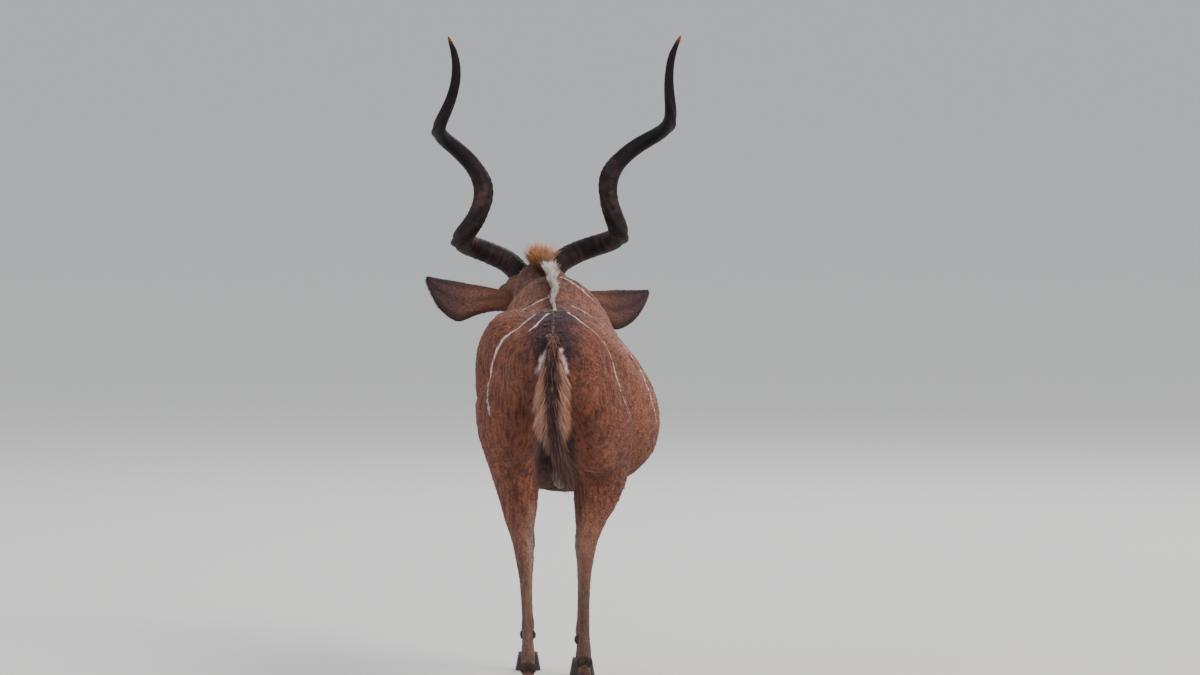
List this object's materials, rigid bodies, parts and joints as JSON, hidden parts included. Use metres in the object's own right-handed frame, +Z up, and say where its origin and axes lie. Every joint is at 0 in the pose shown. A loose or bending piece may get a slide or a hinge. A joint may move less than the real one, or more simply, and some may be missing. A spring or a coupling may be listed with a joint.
{
  "type": "greater kudu",
  "caption": "Life-size greater kudu bull walking away, head low and turned a little left, with long spiral horns, back crest, mane and throat fringe.",
  "frame": {"origin": "On the floor under the middle of the whole animal's box", "axes": "+X is the animal's right, +Y the way it walks, +Z up"},
  "size_m": [0.889, 2.1666, 2.2193],
  "materials": {
    "coat": "short reddish-brown hair with thin white stripes",
    "face": "short grey-brown hair, white chevron and lips",
    "ear": "short grey-brown hair with a dark edge",
    "shank": "short fawn hair",
    "tail_hair": "long dark hair with pale edges",
    "horn": "dark ridged horn, smooth pale tips",
    "hoof": "dark smooth hoof",
    "eye": "wet dark brown eye"
  },
  "bodies": {
    "root": {"torso": "coat", "neck": "coat", "head": "face", "ear_left": "ear", "ear_right": "ear", "eye_left": "eye", "eye_right": "eye", "horn_left": "horn", "horn_right": "horn", "tail": "tail_hair", "leg_hind_left_upper": "coat", "leg_hind_left_lower": "shank", "leg_hind_right_upper": "coat", "leg_hind_right_lower": "shank", "leg_fore_left_upper": "coat", "leg_fore_left_lower": "shank", "leg_fore_right_upper": "coat", "leg_fore_right_lower": "shank", "hoof_hind_left_outer": "hoof", "hoof_hind_left_inner": "hoof", "hoof_hind_right_outer": "hoof", "hoof_hind_right_inner": "hoof", "hoof_fore_left_outer": "hoof", "hoof_fore_left_inner": "hoof", "hoof_fore_right_outer": "hoof", "hoof_fore_right_inner": "hoof"}
  },
  "joints": []
}
